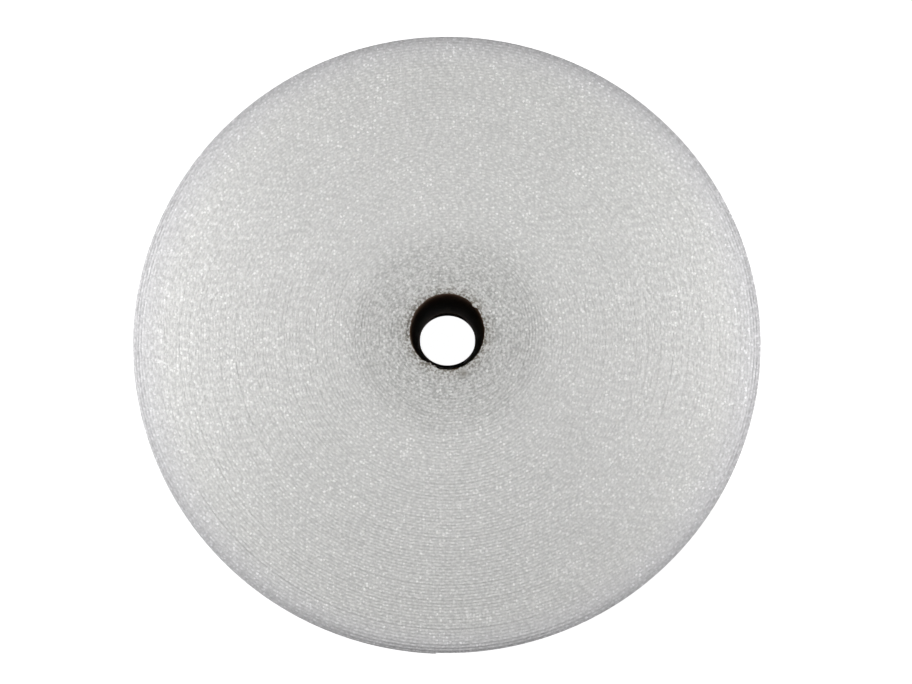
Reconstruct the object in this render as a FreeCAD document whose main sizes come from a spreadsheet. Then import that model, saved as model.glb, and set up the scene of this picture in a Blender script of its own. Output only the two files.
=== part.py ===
import FreeCAD, Part
import math
import os
import Sketcher

# Roll of air-bubble cushioning film on a paper core, standing on its end.
# Millimetres, +Z up. The origin is on the core's axis, in the plane of the lower end.
# The outer turns have sagged off the core's axis, so the outline's own centre lies beside it in -Y.

doc = FreeCAD.newDocument("air_bubble_film_roll")

# Driving dimensions. Every other size and place below is worked out from these.
sheet = doc.addObject("Spreadsheet::Sheet", "Sizes")
driving_dimensions = [
    ("core_bore", 76.2, "inside diameter of the paper core"),
    ("core_wall", 4.0, "wall of the paper core"),
    ("core_setback", 3.0, "upper core end below the film's end"),
    ("core_play", 0.0, "gap between the core and the first turn, which is wound tight on it"),
    ("web_width", 500.0, "width of the film, which is the roll's height"),
    ("web_length", 100000.0, "length of film on the roll"),
    ("web_thickness", 3.05, "thickness of one turn as wound"),
    ("winding_offset", 11.6, "how far the outer turns have sagged off the core's axis"),
    ("tail_step", 1.2, "height of the film's pressed free edge on the outside"),
    ("rim_radius", 14.0, "rounding of the soft outer turns at both ends"),
    ("upper_turns_per_ridge", 7.0, "film turns that one ridge of the upper end stands for"),
    ("lower_turns_per_ridge", 20.0, "the same for the lower end, which the roll stands on"),
    ("furrow_width", 9.0, "width of the furrow between two ridges"),
    ("furrow_depth", 4.5, "depth of that furrow"),
    ("bubble_spacing", 10.0, "spacing of the bubbles along the web, which stand in columns across it"),
    ("columns_per_rib", 4.0, "columns of bubbles that one rib round the outside stands for"),
    ("rib_height", 2.5, "height of the bubbles on the outer turn, and of the ribs"),
    ("inner_turns", 10.0, "film turns next to the core that sit deeper in both ends"),
    ("inner_setback", 2.0, "how much deeper they sit"),
]
for row, (alias, value, note) in enumerate(driving_dimensions, start=1):
    sheet.set(f"A{row}", note)
    sheet.set(f"B{row}", str(value))
    sheet.setAlias(f"B{row}", alias)
doc.recompute()
size = {alias: float(sheet.get(alias)) for alias, value, note in driving_dimensions}
seat_radius = size["core_bore"] / 2 + size["core_wall"] + size["core_play"]
wound_radius = math.sqrt(seat_radius ** 2 + size["web_length"] * size["web_thickness"] / math.pi)
inner_radius = seat_radius + size["inner_turns"] * size["web_thickness"]

# The same sums as expressions, for the sketches and features.
CORE_RADIUS = "(Sizes.core_bore / 2 + Sizes.core_wall)"
SEAT_RADIUS = f"({CORE_RADIUS} + Sizes.core_play)"
WOUND_RADIUS = f"sqrt({SEAT_RADIUS} ^ 2 + Sizes.web_length * Sizes.web_thickness / pi)"
INNER_RADIUS = f"({SEAT_RADIUS} + Sizes.inner_turns * Sizes.web_thickness)"

# Where the two bevels of a rim begin and end, in degrees of its rounding.
RIM_ANGLES = (0, 45, 90)


def origin_plane(body, role):
    """One of a body's own origin planes, by its role."""
    return next(item for item in body.Origin.OriginFeatures if item.Role == role)


def sketch_on(body, name, role, height="0"):
    """An empty sketch on one of a body's origin planes, lifted by an expression."""
    sketch = body.newObject("Sketcher::SketchObject", name)
    sketch.AttachmentSupport = [(origin_plane(body, role), "")]
    sketch.MapMode = "FlatFace"
    sketch.setExpression(".AttachmentOffset.Base.z", height)
    return sketch


def centred_circle(sketch, radius):
    """A circle about the sketch's origin, its radius bound to an expression."""
    circle = sketch.addGeometry(Part.Circle(FreeCAD.Vector(), FreeCAD.Vector(0, 0, 1), 50), False)
    sketch.addConstraint(Sketcher.Constraint("Coincident", circle, 3, -1, 1))
    bound = sketch.addConstraint(Sketcher.Constraint("Radius", circle, 50))
    sketch.setExpression(f"Constraints[{bound}]", radius)


def core_tube():
    """Spiral-wound paper tube, flush with the film below and set back a little above."""
    body = doc.addObject("PartDesign::Body", "core_tube")
    ring = sketch_on(body, "core_ring", "XY_Plane")
    centred_circle(ring, "Sizes.core_bore / 2")
    centred_circle(ring, CORE_RADIUS)
    tube = body.newObject("PartDesign::Pad", "core_wall_pad")
    tube.Profile = ring
    tube.setExpression("Length", "Sizes.web_width - Sizes.core_setback")
    body.Label = "core_tube"
    body.Placement = FreeCAD.Placement()
    return body


def half_turn_profile(body, name, centre, radius):
    """Half section of the wound film from the winding's axis outwards, its rims rounded in bevels."""
    sketch = sketch_on(body, name, "YZ_Plane")
    sketch.setExpression(".AttachmentOffset.Base.x", centre)
    foot_rim = [
        (f"{radius} - Sizes.rim_radius * (1 - sin({angle}))", f"Sizes.rim_radius * (1 - cos({angle}))")
        for angle in RIM_ANGLES
    ]
    head_rim = [(reach, f"Sizes.web_width - {height}") for reach, height in reversed(foot_rim)]
    corners = [("0", "0"), *foot_rim, *head_rim, ("0", "Sizes.web_width")]
    places = [
        FreeCAD.Vector(sheet.evalExpression(reach), sheet.evalExpression(height))
        for reach, height in corners
    ]
    lines = sketch.addGeometry(
        [Part.LineSegment(places[i - 1], places[i]) for i in range(len(places))], False
    )
    for line in lines:
        sketch.addConstraint(Sketcher.Constraint("Coincident", line, 1, lines[line - 1], 2))
    for line, place, (reach, height) in zip(lines, places, corners):
        for kind, value, expression in (("DistanceX", place.x, reach), ("DistanceY", place.y, height)):
            bound = sketch.addConstraint(Sketcher.Constraint(kind, -1, 1, line, 2, value))
            sketch.setExpression(f"Constraints[{bound}]", expression)
    return sketch


def wound_web():
    """Film as one body: two half turns of unequal radius, which leave the free edge as a step at -Y."""
    body = doc.addObject("PartDesign::Body", "wound_web")
    half_step = "Sizes.tail_step / 2"
    halves = [
        ("outer_half", f"-Sizes.winding_offset - {half_step}", f"{WOUND_RADIUS} + {half_step}"),
        ("tail_half", "-Sizes.winding_offset", WOUND_RADIUS),
    ]
    for name, centre, radius in halves:
        profile = half_turn_profile(body, f"{name}_profile", centre, radius)
        turn = body.newObject("PartDesign::Revolution", name)
        turn.Profile = profile
        turn.ReferenceAxis = (profile, ["V_Axis"])
        turn.Angle = 180
        turn.Reversed = name == "tail_half"
        doc.recompute()

    cuts = [
        ("core_seat", "0", SEAT_RADIUS, "Sizes.web_width", True),
        ("lower_inner_turns", "0", INNER_RADIUS, "Sizes.inner_setback", True),
        ("upper_inner_turns", "Sizes.web_width", INNER_RADIUS, "Sizes.inner_setback", False),
    ]
    for name, height, radius, depth, upwards in cuts:
        circle = sketch_on(body, f"{name}_circle", "XY_Plane", height)
        centred_circle(circle, radius)
        pocket = body.newObject("PartDesign::Pocket", name)
        pocket.Profile = circle
        pocket.setExpression("Length", depth)
        pocket.Reversed = upwards
        doc.recompute()
    return body


def turn_furrows(end, outward, turns_per_ridge):
    """Spiral furrow of one end, as half rings that follow each other round the core.

    Each half ring is a V section turned through half a circle. Its own centre lies halfway
    between its two ends on the Y axis, so the rings run on smoothly and drift with the winding.
    """
    pitch = turns_per_ridge * size["web_thickness"]
    first_radius = seat_radius + pitch / 2
    last_radius = wound_radius - size["rim_radius"] - size["furrow_width"] / 2
    turns = int((last_radius - first_radius) / pitch)

    def crossing(half_turn):
        """Distance from the core's axis at which the spiral crosses the Y axis, and its place there."""
        radius = first_radius + half_turn * pitch / 2
        drift = size["winding_offset"] * (radius - seat_radius) / (wound_radius - seat_radius)
        side = -1 if half_turn % 2 == 0 else 1
        return radius, side * radius - drift

    rings = []
    for half_turn in range(2 * turns):
        radius, start = crossing(half_turn)
        axis = (start + crossing(half_turn + 1)[1]) / 2
        face = end - outward * (size["inner_setback"] if radius + pitch / 2 < inner_radius else 0)
        corners = [
            FreeCAD.Vector(0, start, face - outward * size["furrow_depth"]),
            FreeCAD.Vector(0, start - size["furrow_width"] / 2, face),
            FreeCAD.Vector(0, start + size["furrow_width"] / 2, face),
        ]
        section = Part.Face(Part.makePolygon(corners + corners[:1]))
        rings.append(section.revolve(FreeCAD.Vector(0, axis, 0), FreeCAD.Vector(0, 0, 1), 180))
    return rings


def column_furrows():
    """Straight furrows across the web, between the ribs of bubbles that stand out of the outer turn.

    Each is a V section as deep as a rib is high. It opens on past the outside, to clear the free edge.
    The furrows lie evenly round the winding's own axis, and the free edge is in the middle of a rib.
    """
    ribs = round(2 * math.pi * wound_radius / size["bubble_spacing"] / size["columns_per_rib"])
    bottom = wound_radius - size["rib_height"]
    mouth = bottom + 2 * size["rib_height"]
    corners = [
        FreeCAD.Vector(0, -bottom, 0),
        FreeCAD.Vector(size["furrow_width"], -mouth, 0),
        FreeCAD.Vector(-size["furrow_width"], -mouth, 0),
    ]
    section = Part.Face(Part.makePolygon(corners + corners[:1]))
    furrow = section.extrude(FreeCAD.Vector(0, 0, size["web_width"]))
    furrows = []
    for rib in range(ribs):
        turned = furrow.copy()
        turned.rotate(FreeCAD.Vector(), FreeCAD.Vector(0, 0, 1), (rib + 0.5) * 360 / ribs)
        turned.translate(FreeCAD.Vector(0, -size["winding_offset"], 0))
        furrows.append(turned)
    return furrows


def bubble_film():
    """The wound film, its turns as a spiral of ridges on both ends and its bubbles as ribs outside."""
    web = wound_web()
    furrows = doc.addObject("Part::Feature", "furrows")
    furrows.Shape = Part.makeCompound(
        turn_furrows(0, -1, size["lower_turns_per_ridge"])
        + turn_furrows(size["web_width"], 1, size["upper_turns_per_ridge"])
        + column_furrows()
    )
    film = doc.addObject("Part::Cut", "bubble_film")
    film.Base = web
    film.Tool = furrows
    film.Label = "bubble_film"
    film.Placement = FreeCAD.Placement()
    return film


nodes = [core_tube(), bubble_film()]
doc.recompute()

for item in doc.Objects:
    if "Invalid" in item.State or "Error" in item.State:
        raise RuntimeError(f"{item.Name} did not build: {item.State}")
for node in nodes:
    if node.Shape.isNull() or not node.Shape.isValid() or len(node.Shape.Solids) != 1:
        raise RuntimeError(f"{node.Label} is not one valid solid")

os.makedirs("parts", exist_ok=True)
for node in nodes:
    node.Shape.exportStep(f"parts/{node.Label}.step")
    print(node.Label, "volume", round(node.Shape.Volume), "mm3")
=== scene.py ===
import math

import bpy
from mathutils import Matrix, Vector, noise


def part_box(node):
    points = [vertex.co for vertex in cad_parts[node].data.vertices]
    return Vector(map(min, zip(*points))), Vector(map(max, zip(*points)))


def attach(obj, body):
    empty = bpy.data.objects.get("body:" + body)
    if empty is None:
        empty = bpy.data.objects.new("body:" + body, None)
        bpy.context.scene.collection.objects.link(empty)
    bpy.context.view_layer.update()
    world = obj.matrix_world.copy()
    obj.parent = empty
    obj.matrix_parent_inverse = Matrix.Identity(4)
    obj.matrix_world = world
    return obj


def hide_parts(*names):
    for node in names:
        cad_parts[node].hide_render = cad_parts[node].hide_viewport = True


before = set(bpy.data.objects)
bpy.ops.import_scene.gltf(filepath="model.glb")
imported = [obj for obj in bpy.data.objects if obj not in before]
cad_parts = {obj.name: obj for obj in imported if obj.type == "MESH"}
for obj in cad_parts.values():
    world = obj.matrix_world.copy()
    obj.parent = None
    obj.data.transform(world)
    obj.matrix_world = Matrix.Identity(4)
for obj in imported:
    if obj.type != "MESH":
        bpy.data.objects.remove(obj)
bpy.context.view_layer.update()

# Core tube: brown kraft paper wound in a spiral from narrow strips and cut to length.
# The film is wound tight on it, so only its bore and its cut ends show.
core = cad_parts["core_tube"]
core_strip_width = 0.09
core_seam_share = 0.02
kraft_light = (0.17, 0.11, 0.075, 1)
kraft_dark = (0.10, 0.062, 0.042, 1)
kraft_seam = (0.06, 0.038, 0.025, 1)


def new_material(name):
    """A material with its node tree and its Principled shader."""
    material = bpy.data.materials.new(name)
    material.use_nodes = True
    return material, material.node_tree, material.node_tree.nodes["Principled BSDF"]


def add_node(tree, kind, inputs=(), **settings):
    """A node with its settings and inputs filled in; an input given as a socket is linked."""
    node = tree.nodes.new(kind)
    for name, value in settings.items():
        setattr(node, name, value)
    for name, value in dict(inputs).items():
        if isinstance(value, bpy.types.NodeSocket):
            tree.links.new(value, node.inputs[name])
        else:
            node.inputs[name].default_value = value
    return node


def maths(tree, operation, first, second=0.0):
    """The output of one Math node."""
    return add_node(tree, "ShaderNodeMath", {0: first, 1: second}, operation=operation).outputs[0]


def ramp(tree, value, start, end, from_value=0.0, to_value=1.0):
    """A value turned into a mask that runs between two levels, and stays level past them."""
    inputs = {0: value, 1: start, 2: end, 3: from_value, 4: to_value}
    return add_node(tree, "ShaderNodeMapRange", inputs).outputs[0]


def mottling(tree, place, scale, detail):
    """The output of one Noise Texture node."""
    inputs = {"Vector": place, "Scale": scale, "Detail": detail}
    return add_node(tree, "ShaderNodeTexNoise", inputs).outputs[0]


def blend_colours(tree, mask, first, second):
    """The first colour where the mask is 0, and the second where it is 1."""
    return add_node(tree, "ShaderNodeMix", {0: mask, 6: first, 7: second}, data_type="RGBA").outputs[2]


def kraft_paper():
    """Matt brown paper with fibres and the fine dark seams of its strips."""
    material, tree, shader = new_material("kraft_paper")
    place = add_node(tree, "ShaderNodeTexCoord").outputs["Object"]
    parts = add_node(tree, "ShaderNodeSeparateXYZ", {0: place}).outputs
    turns = maths(tree, "DIVIDE", maths(tree, "ARCTAN2", parts[1], parts[0]), 2 * math.pi)
    strips = maths(tree, "ADD", turns, maths(tree, "DIVIDE", parts[2], core_strip_width))
    seam = maths(tree, "LESS_THAN", maths(tree, "FRACT", strips), core_seam_share)
    fibre = mottling(tree, place, 420, 5)
    mottle = mottling(tree, place, 60, 3)
    paper = blend_colours(tree, ramp(tree, mottle, 0.3, 0.7), kraft_light, kraft_dark)
    fibred = blend_colours(tree, ramp(tree, fibre, 0.4, 0.8), paper, kraft_dark)
    bump = add_node(tree, "ShaderNodeBump", {"Height": fibre, "Strength": 0.4, "Distance": 0.0003})
    tree.links.new(blend_colours(tree, seam, fibred, kraft_seam), shader.inputs["Base Color"])
    tree.links.new(bump.outputs[0], shader.inputs["Normal"])
    shader.inputs["Roughness"].default_value = 0.9
    shader.inputs["Specular IOR Level"].default_value = 0.05
    return material


core.data.materials.clear()
core.data.materials.append(kraft_paper())

# Film body: the mass of the wound web, below the cut edges of its turns and inside its outer turn.
# Soft polyethylene film with trapped air. The outer turns have sagged a little off the core's axis
# and are not quite round.
film_low, film_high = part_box("bubble_film")
seat_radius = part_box("core_tube")[1].x
roll_height = film_high.z
wound_radius = (film_high.x - film_low.x) / 2
winding_offset = -(film_low.y + film_high.y) / 2
out_of_round = 0.009
rim_radius = 0.014
tail_step = 0.0012
turns_in_roll = 89
web_thickness = (wound_radius - seat_radius - tail_step) / turns_in_roll
body_depth = 0.0035
film_colour = (0.73, 0.73, 0.725, 1)
film_pocket = (0.60, 0.60, 0.60, 1)
film_pocket_inside = (0.42, 0.42, 0.415, 1)
painted_glint_white = (1.0, 1.0, 1.0, 1)
film_over_kraft = (0.20, 0.18, 0.145, 1)
film_warm = (1.0, 0.997, 0.985, 1)
film_cool = (0.985, 0.978, 1.0, 1)
black = (0, 0, 0, 1)
thin_spot = (0.0160, -0.0415, 0)


def clear_selection():
    """Leaves edit mode, with nothing selected."""
    if bpy.context.object and bpy.context.object.mode != "OBJECT":
        bpy.ops.object.mode_set(mode="OBJECT")
    bpy.ops.object.select_all(action="DESELECT")


def select_only(piece):
    """Leaves edit mode, with one piece selected and active."""
    clear_selection()
    piece.select_set(True)
    bpy.context.view_layer.objects.active = piece


def select_parts(piece, kind, chosen):
    """Selects the vertices, edges or polygons of a piece that the test names, and enters edit mode."""
    select_only(piece)
    bpy.ops.object.mode_set(mode="EDIT")
    bpy.ops.mesh.select_mode(type={"vertices": "VERT", "edges": "EDGE", "polygons": "FACE"}[kind])
    bpy.ops.mesh.select_all(action="DESELECT")
    bpy.ops.object.mode_set(mode="OBJECT")
    for part in getattr(piece.data, kind):
        part.select = chosen(part)
    bpy.ops.object.mode_set(mode="EDIT")


def sag(x, y):
    """Where a point of an even winding about the core lies on the real roll."""
    grown = max(0.0, math.hypot(x, y) - seat_radius) / (wound_radius - seat_radius)
    return x * (1 + out_of_round * grown), y * (1 - out_of_round * grown) - winding_offset * grown


def film_body():
    """A thick tube round the core, with both rims bevelled, shaped as the turns have sagged."""
    radius = wound_radius - web_thickness - tail_step
    height = roll_height - 2 * body_depth
    middle = (0, 0, roll_height / 2)
    clear_selection()
    bpy.ops.mesh.primitive_cylinder_add(vertices=160, radius=radius, depth=height, location=middle)
    body = bpy.context.object
    body.name = "film_body"
    bpy.ops.object.transform_apply(location=True)
    select_parts(body, "polygons", lambda face: abs(face.normal.z) > 0.9)
    bpy.ops.mesh.inset(thickness=radius - seat_radius, use_individual=True)
    bpy.ops.mesh.delete(type="FACE")
    bpy.ops.object.mode_set(mode="OBJECT")
    corners = [vertex.co.copy() for vertex in body.data.vertices]

    def on_ring(edge, at_bore):
        ends = [corners[index] for index in edge.vertices]
        level = abs(ends[0].z - ends[1].z) < web_thickness / 2
        return level and all((end.xy.length < 1.2 * seat_radius) == at_bore for end in ends)

    select_parts(body, "edges", lambda edge: on_ring(edge, True))
    bpy.ops.mesh.bridge_edge_loops()
    select_parts(body, "edges", lambda edge: on_ring(edge, False))
    bpy.ops.mesh.bevel(offset=rim_radius, segments=4)
    bpy.ops.mesh.select_all(action="SELECT")
    bpy.ops.mesh.normals_make_consistent(inside=False)
    bpy.ops.object.mode_set(mode="OBJECT")
    for vertex in body.data.vertices:
        vertex.co.xy = sag(*vertex.co.xy)
    bpy.ops.object.shade_smooth_by_angle(angle=math.radians(40))
    return body


def vector_maths(tree, operation, *inputs):
    """The outputs of one Vector Math node."""
    return add_node(tree, "ShaderNodeVectorMath", dict(enumerate(inputs)), operation=operation).outputs


def film_material():
    """Clear film that is milky in the roll, with painted glints on the cut bubbles and painted
    specks of glint in its colour, and real glints from the bumps of its crinkles.

    It gets darker towards the core and lets the brown paper through there, and at one thin spot.
    """
    material, tree, shader = new_material("bubble_film")
    place = add_node(tree, "ShaderNodeTexCoord").outputs["Object"]
    level = vector_maths(tree, "MULTIPLY", place, (1, 1, 0))[0]
    radius = vector_maths(tree, "LENGTH", level)["Value"]
    centred = vector_maths(tree, "ADD", level, (0, winding_offset, 0))[0]
    reach = vector_maths(tree, "LENGTH", centred)["Value"]
    painted_shine = add_node(tree, "ShaderNodeAttribute", attribute_name="painted_shine").outputs["Fac"]

    crinkle = mottling(tree, place, 700, 3)
    cloud = mottling(tree, place, 22, 3)
    painted_glint_patch = mottling(tree, place, 260, 1)
    grain = mottling(tree, place, 420, 1)
    painted_speck_cells = add_node(tree, "ShaderNodeTexVoronoi", {"Vector": place, "Scale": 300}).outputs

    # Painted highlight: a white glint on the arch of each cut bubble, where its painted_shine is high.
    painted_glint = maths(tree, "POWER", painted_shine, 5.0)
    painted_glint = maths(tree, "MULTIPLY", painted_glint, ramp(tree, painted_glint_patch, 0.34, 0.46, 0, 1.15))
    # Painted highlight: small white specks of glint over the film, mixed into its colour with the glints.
    ragged = maths(tree, "ADD", painted_speck_cells["Distance"], ramp(tree, grain, 0.3, 0.7, -0.2, 0.2))
    painted_speck_pick = add_node(tree, "ShaderNodeSeparateColor", {0: painted_speck_cells["Color"]}).outputs[0]
    painted_speck = ramp(tree, ragged, 0.25, 0.42, 1.0, 0.0)
    painted_speck = maths(tree, "MULTIPLY", painted_speck, ramp(tree, painted_speck_pick, 0.6, 0.85))
    painted_speck = maths(tree, "MULTIPLY", painted_speck, ramp(tree, cloud, 0.38, 0.62, 0.6, 1.0))
    painted_highlight = maths(tree, "MAXIMUM", painted_glint, painted_speck)

    pocket = blend_colours(tree, ramp(tree, radius, 0.045, 0.11), film_pocket_inside, film_pocket)
    milky = blend_colours(tree, ramp(tree, grain, 0.35, 0.65), pocket, film_colour)
    with_painted_glints = blend_colours(tree, painted_highlight, milky, painted_glint_white)
    inside_shade = ramp(tree, radius, 0.07, 0.12, 0.92, 0.99)
    rim_shade = ramp(tree, reach, 0.290, 0.316, 1.0, 0.88)
    shaded = blend_colours(tree, maths(tree, "MULTIPLY", inside_shade, rim_shade), black, with_painted_glints)
    tone = blend_colours(tree, ramp(tree, reach, 0.28, 0.31), film_warm, film_cool)
    inputs = {0: 1.0, 6: shaded, 7: tone}
    toned = add_node(tree, "ShaderNodeMix", inputs, data_type="RGBA", blend_type="MULTIPLY").outputs[2]

    near_core = maths(tree, "POWER", ramp(tree, radius, 0.038, 0.052, 1.0, 0.0), 1.6)
    stain = maths(tree, "MULTIPLY", near_core, ramp(tree, grain, 0.42, 0.56, 1.0, 0.1))
    away = vector_maths(tree, "DISTANCE", level, thin_spot)["Value"]
    stain = maths(tree, "MAXIMUM", stain, ramp(tree, away, 0.002, 0.007, 0.55, 0.0))
    bump = add_node(tree, "ShaderNodeBump", {"Height": crinkle, "Strength": 0.3, "Distance": 0.0005})
    tree.links.new(blend_colours(tree, stain, toned, film_over_kraft), shader.inputs["Base Color"])
    tree.links.new(ramp(tree, cloud, 0.3, 0.7, 0.22, 0.38), shader.inputs["Roughness"])
    tree.links.new(bump.outputs[0], shader.inputs["Normal"])
    shader.subsurface_method = "BURLEY"
    shader.inputs["Subsurface Weight"].default_value = 0.25
    shader.inputs["Subsurface Radius"].default_value = (1, 1, 1)
    shader.inputs["Subsurface Scale"].default_value = 0.002
    return material


def dress_film(piece):
    """Gives a finished piece of the film its place in the frame and its material."""
    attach(piece, "root")
    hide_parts("bubble_film")
    piece.data.materials.clear()
    piece.data.materials.append(film)


film = film_material()
body = film_body()
dress_film(body)

# Turn edges: the slit edge of the web, turn after turn. The slitter has cut through a bubble every
# 10 mm, so each one is an open cup between the flat base film and the arched film of the bubble.
# The first turns lie crushed over the end of the core, and the last ones round off the rim.
bubble_spacing = 0.010
inner_ring_radius = 0.075
inner_ring_slope = 0.024
inner_ring_setback = 0.0010
points_per_turn = 180
turns_over_core = 1.25
stretch_reach = 0.014
stretch_length = 7.0
slack_reach = 0.0008
slack_length = 0.025
crush_height = 0.00042
crush_width = 0.3
crush_scale = 170
crinkle_scale = 610
edge_depth = 0.0005
edge_unevenness = 0.0002
radius_unevenness = 0.00015

# For each row of points across a cut bubble, from the next turn inwards: how far out it lies as a
# share of the turn, its height in metres, and how much painted highlight it gets in its colour. The
# second number of each pair is what the arch of the bubble adds.
upper_cut = [
    ((1.05, 0), (-0.0003, 0.0001), (0, 0)),
    ((0.32, 0.46), (0, 0.0002), (0, 1)),
    ((0.14, 0.24), (-0.0001, -0.0002), (0, 0.9)),
    ((0, 0), (0, 0), (0, 0)),
]
lower_cut = [upper_cut[0], upper_cut[1], upper_cut[3]]


def end_height(radius):
    """Height of a turn's edge: level, deeper next to the core and rounded down at the rim."""
    sunk = min(1.0, max(0.0, (inner_ring_radius + inner_ring_slope - radius) / inner_ring_slope))
    into_rim = min(1.0, max(0.0, radius - (wound_radius - rim_radius)) / rim_radius)
    rounded = rim_radius * (1 - math.sqrt(1 - into_rim ** 2))
    return roll_height - inner_ring_setback * sunk * sunk * (3 - 2 * sunk) - rounded


def winding_point(turns):
    """A point of the web's base film at its upper edge, after so many turns from the core.

    The last turn is pressed flat towards its free end, which leaves only a low step there.
    """
    last = turns_in_roll - 1
    radius = seat_radius + min(turns, last) * web_thickness + max(0.0, turns - last) * tail_step
    angle = 2 * math.pi * turns - math.pi / 2
    uneven = Vector((turns * 2.3, 0.5, 0.5))
    height = end_height(radius + web_thickness / 2) + edge_unevenness * noise.noise(uneven * 1.7)
    radius += radius_unevenness * noise.noise(uneven) * min(1.0, last - min(turns, last))
    return Vector((*sag(radius * math.cos(angle), radius * math.sin(angle)), height - edge_depth))


def path_curve(name, points):
    """An upright poly curve through points, for winding flat strips on, and its length."""
    curve = bpy.data.curves.new(name, "CURVE")
    curve.dimensions = "3D"
    curve.twist_mode = "Z_UP"
    spline = curve.splines.new("POLY")
    spline.points.add(len(points) - 1)
    for point, place in zip(spline.points, points):
        point.co = (*place, 1)
    path = bpy.data.objects.new(name, curve)
    bpy.context.scene.collection.objects.link(path)
    return path, sum((end - start).length for start, end in zip(points, points[1:]))


def cut_bubble(columns, rows):
    """One cut bubble and its share of base film, with the next turn towards -Y."""
    clear_selection()
    bpy.ops.mesh.primitive_grid_add(x_subdivisions=columns, y_subdivisions=len(rows) - 1, size=1)
    cell = bpy.context.object
    painted_shine = cell.data.attributes.new("painted_shine", "FLOAT", "POINT")
    for vertex in cell.data.vertices:
        along = vertex.co.x + 0.5
        arch = math.sin(math.pi * along)
        levels = rows[round((vertex.co.y + 0.5) * (len(rows) - 1))]
        out, height, painted_gloss = (level[0] + level[1] * arch for level in levels)
        vertex.co = (bubble_spacing * along, -web_thickness * out, height)
        # painted_shine: where a painted highlight goes on the arch of the cut bubble, in the film's colour.
        painted_shine.data[vertex.index].value = painted_gloss * painted_gloss
    bpy.ops.object.shade_smooth()
    return cell


def own_copy(piece, name):
    """A copy with its own mesh, in the scene."""
    copy = piece.copy()
    copy.data = piece.data.copy()
    copy.name = name
    bpy.context.scene.collection.objects.link(copy)
    return copy


def apply_modifiers(piece):
    """Applies all of a piece's modifiers, from the first on."""
    select_only(piece)
    for modifier in list(piece.modifiers):
        bpy.ops.object.modifier_apply(modifier=modifier.name)


def repeat(piece, count, step):
    """Repeats a piece in a row, with the vertices of neighbours merged."""
    row = piece.modifiers.new("row", "ARRAY")
    row.count = count
    row.use_relative_offset = False
    row.use_constant_offset = True
    row.constant_offset_displace = step
    row.use_merge_vertices = True
    row.merge_threshold = bubble_spacing / 200


def wind_on(piece, path):
    """Bends a flat piece that lies along +X round an upright path, its -Y side outwards."""
    winding = piece.modifiers.new("winding", "CURVE")
    winding.object = path
    winding.deform_axis = "POS_X"
    apply_modifiers(piece)


def wind_edges(cell, name, path, first, count):
    """Some of the cut bubbles of one edge of the web, wound into the roll."""
    strip = own_copy(cell, name)
    repeat(strip, count, (bubble_spacing, 0, 0))
    apply_modifiers(strip)
    stretch = count * bubble_spacing / max(vertex.co.x for vertex in strip.data.vertices)
    for vertex in strip.data.vertices:
        along = vertex.co.x * stretch + first * bubble_spacing
        across = vertex.co.y / web_thickness
        if -1 < across < -0.05:
            vertex.co.y *= 1 + crush_width * noise.noise(Vector((along * crush_scale, across, 0.5)))
        vertex.co.x = along + stretch_reach * noise.noise(Vector((along / stretch_length, 7.5, 0.5)))
        vertex.co.x += slack_reach * noise.noise(Vector((along / slack_length, 3.5, 0.5)))
    wind_on(strip, path)
    for vertex in strip.data.vertices:
        crushed = 1 + max(0.0, 1.5 * (1 - vertex.co.xy.length / inner_ring_radius))
        vertex.co.z += crushed * crush_height * noise.noise(vertex.co * crinkle_scale)
    return strip


first_step = -round(turns_over_core * points_per_turn)
last_step = turns_in_roll * points_per_turn
winding_points = [winding_point(step / points_per_turn) for step in range(first_step, last_step + 1)]
winding_path, winding_length = path_curve("winding_path", winding_points)
cut_bubbles = int(winding_length / bubble_spacing)
half = cut_bubbles // 2
upper_cell = cut_bubble(5, upper_cut)
lower_cell = cut_bubble(4, lower_cut)
inner_edges = wind_edges(upper_cell, "upper_turn_edges_inner", winding_path, 0, half)
outer_edges = wind_edges(upper_cell, "upper_turn_edges_outer", winding_path, half, cut_bubbles - half)
lower_edges = wind_edges(lower_cell, "lower_turn_edges", winding_path, 0, cut_bubbles)
for vertex in lower_edges.data.vertices:
    vertex.co.z = roll_height - vertex.co.z
select_only(lower_edges)
bpy.ops.object.mode_set(mode="EDIT")
bpy.ops.mesh.select_all(action="SELECT")
bpy.ops.mesh.flip_normals()
bpy.ops.object.mode_set(mode="OBJECT")
for piece in (inner_edges, outer_edges, lower_edges):
    dress_film(piece)
for spare in (winding_path, upper_cell, lower_cell):
    bpy.data.objects.remove(spare)

# Outer turn: the last turn of the web, its bubbles outwards, ending in the free cut edge in front.
# The bubbles stand in columns across the web, each column half a bubble higher than the last.
bubble_pitch = 2 * bubble_spacing / math.sqrt(3)
bubble_radius = 0.0049
bubble_height = 0.0025
shoulder_height = 0.72
shoulder_width = 0.8
outer_base = wound_radius - bubble_height
outer_setback = 0.0009
outer_height = 2 * (end_height(wound_radius - web_thickness / 2) - outer_setback) - roll_height
bubble_rows = math.ceil(outer_height / bubble_pitch) + 1
outer_pieces = 3
unevenness = 0.0006
unevenness_scale = 9


def outer_point(turns):
    """A point of the outer turn's base film, at half height."""
    radius = outer_base - tail_step * (1 - turns)
    angle = 2 * math.pi * turns - math.pi / 2
    return Vector((*sag(radius * math.cos(angle), radius * math.sin(angle)), roll_height / 2))


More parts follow.
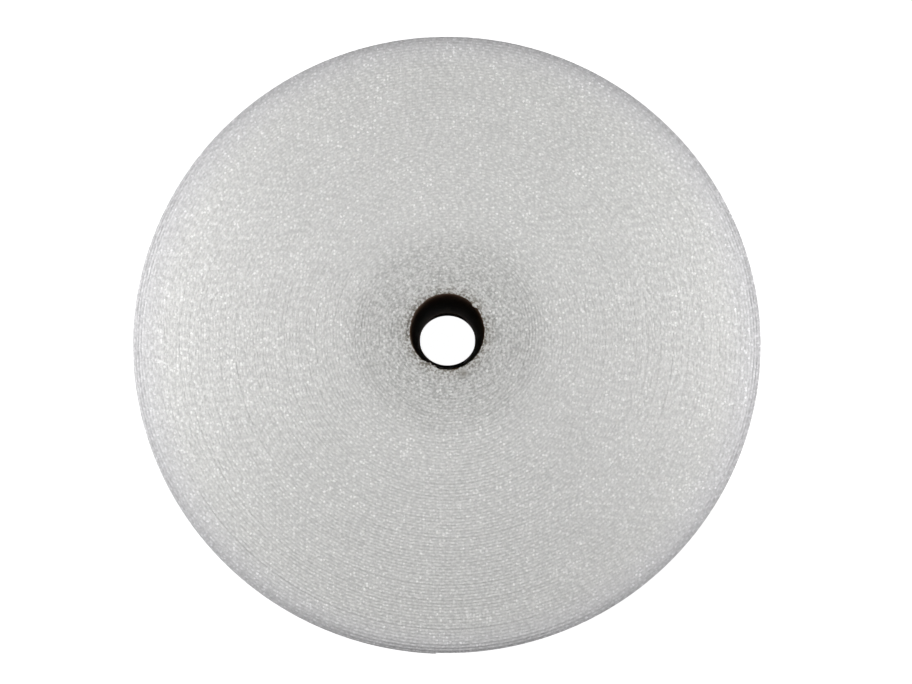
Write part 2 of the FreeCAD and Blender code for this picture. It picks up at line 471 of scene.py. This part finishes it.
def whole_bubble():
    """One bubble on its hexagon of flat film, its dome towards -Y."""
    corner_radius = bubble_pitch / math.sqrt(3)
    clear_selection()
    bpy.ops.mesh.primitive_circle_add(
        vertices=12, radius=corner_radius, fill_type="NGON", rotation=(math.pi / 2, 0, 0)
    )
    bubble = bpy.context.object
    bpy.ops.object.transform_apply(rotation=True)
    bpy.ops.object.mode_set(mode="EDIT")
    bpy.ops.mesh.inset(thickness=(corner_radius - bubble_radius) * math.cos(math.pi / 12))
    shoulder = (0, -shoulder_height * bubble_height, 0)
    bpy.ops.mesh.extrude_region_move(TRANSFORM_OT_translate={"value": shoulder})
    bpy.ops.transform.resize(value=(shoulder_width, 1, shoulder_width))
    bpy.ops.mesh.poke()
    bpy.ops.object.mode_set(mode="OBJECT")
    painted_shine = bubble.data.attributes.new("painted_shine", "FLOAT", "POINT")
    for vertex in bubble.data.vertices:
        radius = math.hypot(vertex.co.x, vertex.co.z)
        direction = round(math.degrees(math.atan2(vertex.co.z, vertex.co.x)) / 30)
        if radius < 0.1 * bubble_radius:
            vertex.co.y = -bubble_height
        if radius > 1.05 * bubble_radius and direction % 2:
            vertex.co.x *= math.cos(math.pi / 6)
            vertex.co.z *= math.cos(math.pi / 6)
        # painted_shine: a faint painted highlight, more on the dome than on the flat film.
        on_base = vertex.co.y > -0.1 * bubble_height
        painted_shine.data[vertex.index].value = 0.1 if on_base else 0.45
    bpy.ops.object.shade_smooth()
    return bubble


def bubble_pair():
    """Two bubbles of neighbouring columns as one piece."""
    first = whole_bubble()
    second = own_copy(first, "second_bubble")
    for vertex in second.data.vertices:
        vertex.co.x += bubble_spacing
        vertex.co.z += bubble_pitch / 2
    select_only(first)
    second.select_set(True)
    bpy.ops.object.join()
    return first


def wrap_bubbles(pair, name, path, first, pairs):
    """Some columns of the outer turn, trimmed to the web's width and wrapped round the roll."""
    sheet = own_copy(pair, name)
    for vertex in sheet.data.vertices:
        vertex.co.x += first * 2 * bubble_spacing
        vertex.co.z -= bubble_rows / 2 * bubble_pitch
    repeat(sheet, bubble_rows, (0, 0, bubble_pitch))
    repeat(sheet, pairs, (2 * bubble_spacing, 0, 0))
    apply_modifiers(sheet)
    bpy.ops.object.mode_set(mode="EDIT")
    bpy.ops.mesh.select_all(action="SELECT")
    bpy.ops.mesh.remove_doubles(threshold=bubble_spacing / 200)
    for side in (-1, 1):
        bpy.ops.mesh.select_all(action="SELECT")
        bpy.ops.mesh.bisect(
            plane_co=(0, 0, side * outer_height / 2), plane_no=(0, 0, side), clear_outer=True
        )
    bpy.ops.object.mode_set(mode="OBJECT")
    wind_on(sheet, path)
    for vertex in sheet.data.vertices:
        push = 1 + unevenness * noise.noise(vertex.co * unevenness_scale) / wound_radius
        vertex.co.x *= push
        vertex.co.y *= push
    return sheet


outer_path, outer_length = path_curve("outer_path", [outer_point(step / 720) for step in range(721)])
pair = bubble_pair()
pairs_round = math.floor(outer_length / bubble_spacing / 2)
pairs_each = math.ceil(pairs_round / outer_pieces)
for piece_index in range(outer_pieces):
    first = piece_index * pairs_each
    pairs = min(pairs_each, pairs_round - first)
    dress_film(wrap_bubbles(pair, f"outer_turn_{piece_index + 1}", outer_path, first, pairs))
for spare in (outer_path, pair):
    bpy.data.objects.remove(spare)

# Inner lip: the start of the web, crushed down over the upper end of the core, with its ragged edge.
# It is the same film, pressed flat, with one stiff fold and one torn tongue sticking out into the
# bore, and one dent.
lip_spokes = 240
lip_radii = (0.0381, 0.0387, 0.0396, 0.0407, 0.0420, 0.0450)
lip_heights = (-0.0027, -0.0022, -0.0021, -0.0022, -0.0024, -0.0029)
lip_waviness = 0.0006
lip_crinkle = 0.0007
lip_thickness = 0.0003
bare_core = 0.0006
covered_core = 0.0008
fold_angle = math.radians(45)
fold_reach = 0.0022
fold_height = 0.0018
dent_angle = math.radians(-77)
dent_depth = 0.0008
tongue_angle = math.radians(-117)
tongue_reach = 0.0021
tongue_teeth = 0.0009


def hump(angle, centre, width):
    """A smooth hump of height 1 round an angle."""
    away = math.remainder(angle - centre, 2 * math.pi) / width
    return math.exp(-away * away)


def inner_lip():
    """Rings of film from the bore outwards, each at its own height, wavy towards the bore."""
    clear_selection()
    bpy.ops.mesh.primitive_circle_add(
        vertices=lip_spokes, radius=lip_radii[0], location=(0, 0, roll_height)
    )
    lip = bpy.context.object
    lip.name = "inner_lip"
    bpy.ops.object.transform_apply(location=True)
    bpy.ops.object.mode_set(mode="EDIT")
    for inner, outer in zip(lip_radii, lip_radii[1:]):
        bpy.ops.mesh.extrude_edges_move()
        bpy.ops.transform.resize(value=(outer / inner, outer / inner, 1))
    bpy.ops.mesh.select_all(action="SELECT")
    bpy.ops.mesh.normals_make_consistent(inside=False)
    bpy.ops.object.mode_set(mode="OBJECT")
    for vertex in lip.data.vertices:
        radius = vertex.co.xy.length
        angle = math.atan2(vertex.co.y, vertex.co.x)
        ring = min(range(len(lip_radii)), key=lambda index: abs(lip_radii[index] - radius))
        edge = 1 - ring / (len(lip_radii) - 1)
        wrinkle = noise.noise(Vector((math.cos(angle) * 7, math.sin(angle) * 7, ring * 0.5)))
        fine = noise.noise(Vector((math.cos(angle) * 33, math.sin(angle) * 33, ring * 1.7)))
        reach = lip_waviness * wrinkle + lip_waviness * fine - fold_reach * hump(angle, fold_angle, 0.07)
        reach += hump(angle, tongue_angle, 0.2) * (tongue_teeth * math.sin(angle * 40) - tongue_reach)
        reach += bare_core * hump(angle, math.pi / 2, 0.9) - covered_core * hump(angle, 0, 0.9)
        radius += edge * reach
        height = lip_heights[ring] + lip_crinkle * fine + fold_height * edge * hump(angle, fold_angle, 0.08)
        height -= dent_depth * edge * hump(angle, dent_angle, 0.12)
        vertex.co = (radius * math.cos(angle), radius * math.sin(angle), roll_height + height)
    bpy.ops.object.shade_smooth()
    thickness = lip.modifiers.new("film", "SOLIDIFY")
    thickness.thickness = lip_thickness
    apply_modifiers(lip)
    return lip


dress_film(inner_lip())

# Floor: a plain white sweep that glows where it is seen, less so near the roll, where its shadow
# falls. Through the core it shows as a white oval, a little wider than high.
floor_size = 16.0
shadow_reach = 0.9
white_reach = 2.2
white_near_roll = 0.72
seen_through_core = (0.0384, 0.0344)

clear_selection()
bpy.ops.mesh.primitive_plane_add(size=floor_size)
floor = bpy.context.object
floor.name = "floor"


def floor_material():
    """White as it is seen, whatever light falls on it, and still able to take a shadow."""
    material = bpy.data.materials.new("white_floor")
    material.use_nodes = True
    tree = material.node_tree
    tree.nodes.clear()
    output = add_node(tree, "ShaderNodeOutputMaterial")
    place = add_node(tree, "ShaderNodeTexCoord").outputs["Object"]
    distance = vector_maths(tree, "LENGTH", place)["Value"]
    spot = vector_maths(tree, "DIVIDE", place, (*seen_through_core, 1))[0]
    spot = vector_maths(tree, "LENGTH", spot)["Value"]
    outside = ramp(tree, distance, shadow_reach, white_reach, white_near_roll, 1.0)
    outside = maths(tree, "MULTIPLY", outside, maths(tree, "GREATER_THAN", distance, seat_radius))
    glow = maths(tree, "MAXIMUM", outside, maths(tree, "LESS_THAN", spot, 1.0))
    path = add_node(tree, "ShaderNodeLightPath").outputs
    seen = maths(tree, "MAXIMUM", path["Is Camera Ray"], path["Is Glossy Ray"])
    seen = maths(tree, "MAXIMUM", seen, path["Is Transmission Ray"])
    strength = maths(tree, "MULTIPLY", glow, seen)
    emission = add_node(tree, "ShaderNodeEmission", {"Color": (1, 1, 1, 1), "Strength": strength})
    diffuse = add_node(tree, "ShaderNodeBsdfDiffuse", {"Color": (0.6, 0.6, 0.6, 1)})
    both = add_node(tree, "ShaderNodeAddShader", {0: emission.outputs[0], 1: diffuse.outputs[0]})
    tree.links.new(both.outputs[0], output.inputs["Surface"])
    return material


floor.data.materials.append(floor_material())

# Light: four low softboxes round the roll in a dim white room. The left and right ones are near and
# light its upper end at a slant, the left one a little more. The other two only fill in.
room_light = 0.31
softboxes = {
    "left_softbox": ((-0.75, 0.06, 0.85), (0, 0, 0.5), 6.1),
    "right_softbox": ((0.75, 0.06, 0.85), (0, 0, 0.5), 5.2),
    "front_softbox": ((0, -1.7, 0.15), (0, 0, 0.15), 7.5),
    "back_softbox": ((0, 1.7, 0.15), (0, 0, 0.15), 7.5),
}
softbox_size = 0.7

world = bpy.data.worlds.new("studio")
bpy.context.scene.world = world
world.use_nodes = True
room = world.node_tree.nodes["Background"]
seen_by_camera = add_node(world.node_tree, "ShaderNodeLightPath").outputs["Is Camera Ray"]
brightness = ramp(world.node_tree, seen_by_camera, 0, 1, room_light, 1.0)
world.node_tree.links.new(brightness, room.inputs["Strength"])
room.inputs["Color"].default_value = (1, 1, 1, 1)

for name, (place, aim, power) in softboxes.items():
    clear_selection()
    bpy.ops.object.light_add(type="AREA", location=place)
    softbox = bpy.context.object
    softbox.name = name
    softbox.data.size = softbox_size
    softbox.data.energy = power
    softbox.visible_camera = False
    line = Vector(aim) - Vector(place)
    softbox.rotation_euler = line.to_track_quat("-Z", "Y").to_euler()

# Camera: above the roll, nearly on the core's axis, looking down on the upper end, with the front of
# the roll, -Y, at the bottom of the picture. The focal length is given in pixels of the picture.
camera_place = Vector((0, -0.0320, roll_height + 1.311))
camera_aim = Vector((0.0085, -0.0102, roll_height))
sensor_width = 36.0
image_width = 912
focal_pixels = 1305.8

clear_selection()
bpy.ops.object.camera_add(location=camera_place)
camera = bpy.context.object
camera.data.sensor_width = sensor_width
camera.data.lens = sensor_width * focal_pixels / image_width
view_line = (camera_aim - camera_place).normalized()
rightwards = view_line.cross(Vector((0, 1, 0))).normalized()
upwards = rightwards.cross(view_line)
camera.rotation_euler = Matrix((rightwards, upwards, -view_line)).transposed().to_euler()
bpy.context.scene.camera = camera

bpy.context.scene.view_settings.view_transform = "Standard"
bpy.context.view_layer.update()
